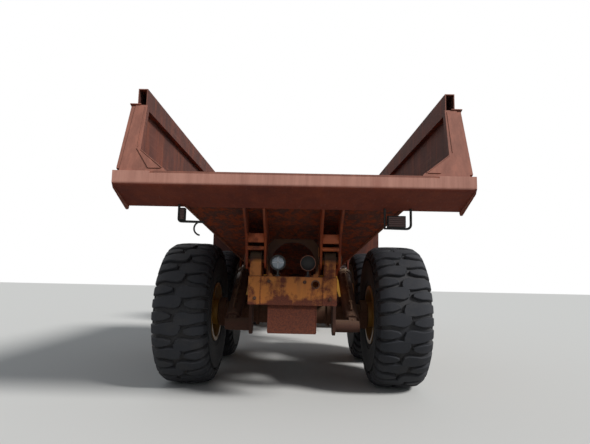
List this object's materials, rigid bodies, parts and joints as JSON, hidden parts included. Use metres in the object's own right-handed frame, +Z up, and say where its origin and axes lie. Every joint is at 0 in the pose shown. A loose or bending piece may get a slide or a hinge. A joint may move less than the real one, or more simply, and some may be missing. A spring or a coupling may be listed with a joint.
{
  "type": "articulated dump truck",
  "caption": "Articulated dump truck with a tipping body on a twin-axle rear chassis, steered at its centre hitch, with an enclosed cab.",
  "frame": {"origin": "on the ground under the middle of the whole truck's box", "axes": "+Y towards the truck's nose, +X to its right side, +Z up"},
  "size_m": [3.004, 10.2, 3.33],
  "materials": {
    "rusty_body": "matt, rusty",
    "rusty_beam": "matt, rusty",
    "frame_paint": "worn, rusty",
    "yellow_paint": "faded",
    "roof_paint": "faded",
    "cast_steel": "dusty",
    "rod_chrome": "worn",
    "lamp_metal": "worn",
    "lamp_plastic": "faded",
    "black_steel": "matt",
    "glass": "dusty",
    "seat_cloth": "worn",
    "dash_plastic": "matt",
    "tyre_rubber": "worn, dusty"
  },
  "bodies": {
    "rear_chassis": {"rear_frame": "frame_paint", "hoist_feet": "frame_paint", "rear_axles": "cast_steel", "bogie_beams": "frame_paint", "propshafts": "cast_steel", "reversing_lamps": "lamp_metal"},
    "dump_body": {"body_floor": "rusty_body", "body_side_left": "rusty_body", "body_side_right": "rusty_body", "headboard": "rusty_body", "tail_beam": "rusty_beam", "body_sills": "rusty_body", "mudguards": "rusty_body", "tail_lamps": "lamp_plastic"},
    "hoist_barrels": {"hoist_barrels": "frame_paint"},
    "hoist_rods": {"hoist_rods": "rod_chrome"},
    "hitch": {"hitch_yoke": "cast_steel"},
    "tractor": {"front_frame": "frame_paint", "bumper": "yellow_paint", "front_axle": "cast_steel", "engine": "cast_steel", "fenders": "yellow_paint", "side_tanks": "yellow_paint", "cab_frame": "yellow_paint", "cab_roof": "roof_paint", "cab_glass": "glass", "driver_seat": "seat_cloth", "dash_console": "dash_plastic", "exhaust": "black_steel", "mirrors": "black_steel"},
    "door": {"door": "yellow_paint", "door_glass": "glass"},
    "bonnet": {"bonnet": "yellow_paint"},
    "steer_barrel_left": {"steer_barrel_left": "frame_paint"},
    "steer_rod_left": {"steer_rod_left": "rod_chrome"},
    "steer_barrel_right": {"steer_barrel_right": "frame_paint"},
    "steer_rod_right": {"steer_rod_right": "rod_chrome"},
    "wheel_front_left": {"tyre_front_left": "tyre_rubber", "rim_front_left": "yellow_paint"},
    "wheel_front_right": {"tyre_front_right": "tyre_rubber", "rim_front_right": "yellow_paint"},
    "wheel_mid_left": {"tyre_mid_left": "tyre_rubber", "rim_mid_left": "yellow_paint"},
    "wheel_mid_right": {"tyre_mid_right": "tyre_rubber", "rim_mid_right": "yellow_paint"},
    "wheel_rear_left": {"tyre_rear_left": "tyre_rubber", "rim_rear_left": "yellow_paint"},
    "wheel_rear_right": {"tyre_rear_right": "tyre_rubber", "rim_rear_right": "yellow_paint"}
  },
  "joints": [
    {"name": "body_tip", "type": "hinge", "parent": "rear_chassis", "child": "dump_body", "pos_m": [0, -4.3, 1.4], "axis": [1, 0, 0], "range_deg": [0, 70]},
    {"name": "hoist_turn", "type": "hinge", "parent": "rear_chassis", "child": "hoist_barrels", "pos_m": [0, -3.9, 0.73], "axis": [1, 0, 0], "range_deg": [0, 56.21]},
    {"name": "hoist_extend", "type": "slide", "parent": "hoist_barrels", "child": "hoist_rods", "axis": [0, 0.8712, 0.491], "range_m": [0, 0.8069]},
    {"name": "hitch_roll", "type": "hinge", "parent": "rear_chassis", "child": "hitch", "pos_m": [0, 0.25, 1.105], "axis": [0, 1, 0], "range_deg": [-15, 15]},
    {"name": "steer", "type": "hinge", "parent": "hitch", "child": "tractor", "pos_m": [0, 0.65, 1.105], "axis": [0, 0, 1], "range_deg": [-45, 45]},
    {"name": "steer_turn_left", "type": "hinge", "parent": "tractor", "child": "steer_barrel_left", "pos_m": [-0.6, 1.55, 1.105], "axis": [0, 0, 1], "range_deg": [-1.31, 1.31]},
    {"name": "steer_extend_left", "type": "slide", "parent": "steer_barrel_left", "child": "steer_rod_left", "axis": [0.2747, -0.9615, 0], "range_m": [-0.237, 0.237]},
    {"name": "steer_turn_right", "type": "hinge", "parent": "tractor", "child": "steer_barrel_right", "pos_m": [0.6, 1.55, 1.105], "axis": [0, 0, 1], "range_deg": [-1.31, 1.31]},
    {"name": "steer_extend_right", "type": "slide", "parent": "steer_barrel_right", "child": "steer_rod_right", "axis": [-0.2747, -0.9615, 0], "range_m": [-0.237, 0.237]},
    {"name": "door_swing", "type": "hinge", "parent": "tractor", "child": "door", "pos_m": [-0.833, 2.727, 2.4], "axis": [0, 0, -1], "range_deg": [0, 80]},
    {"name": "bonnet_tilt", "type": "hinge", "parent": "tractor", "child": "bonnet", "pos_m": [0, 4.8, 1.3], "axis": [-1, 0, 0], "range_deg": [0, 55]},
    {"name": "spin_front_left", "type": "hinge", "parent": "tractor", "child": "wheel_front_left", "pos_m": [-1.175, 2.55, 0.805], "axis": [1, 0, 0], "continuous": true},
    {"name": "spin_front_right", "type": "hinge", "parent": "tractor", "child": "wheel_front_right", "pos_m": [1.175, 2.55, 0.805], "axis": [1, 0, 0], "continuous": true},
    {"name": "spin_mid_left", "type": "hinge", "parent": "rear_chassis", "child": "wheel_mid_left", "pos_m": [-1.175, -1.63, 0.805], "axis": [1, 0, 0], "continuous": true},
    {"name": "spin_mid_right", "type": "hinge", "parent": "rear_chassis", "child": "wheel_mid_right", "pos_m": [1.175, -1.63, 0.805], "axis": [1, 0, 0], "continuous": true},
    {"name": "spin_rear_left", "type": "hinge", "parent": "rear_chassis", "child": "wheel_rear_left", "pos_m": [-1.175, -3.3, 0.805], "axis": [1, 0, 0], "continuous": true},
    {"name": "spin_rear_right", "type": "hinge", "parent": "rear_chassis", "child": "wheel_rear_right", "pos_m": [1.175, -3.3, 0.805], "axis": [1, 0, 0], "continuous": true}
  ],
  "couplings": [
    {"joint": "hoist_turn", "follows": "body_tip", "ratio": 0.80223},
    {"joint": "hoist_extend", "follows": "body_tip", "m_per_rad": 0.65967},
    {"joint": "steer_turn_left", "follows": "steer", "ratio": -0.0281},
    {"joint": "steer_extend_left", "follows": "steer", "m_per_rad": -0.30052},
    {"joint": "steer_turn_right", "follows": "steer", "ratio": -0.0281},
    {"joint": "steer_extend_right", "follows": "steer", "m_per_rad": 0.30052}
  ]
}
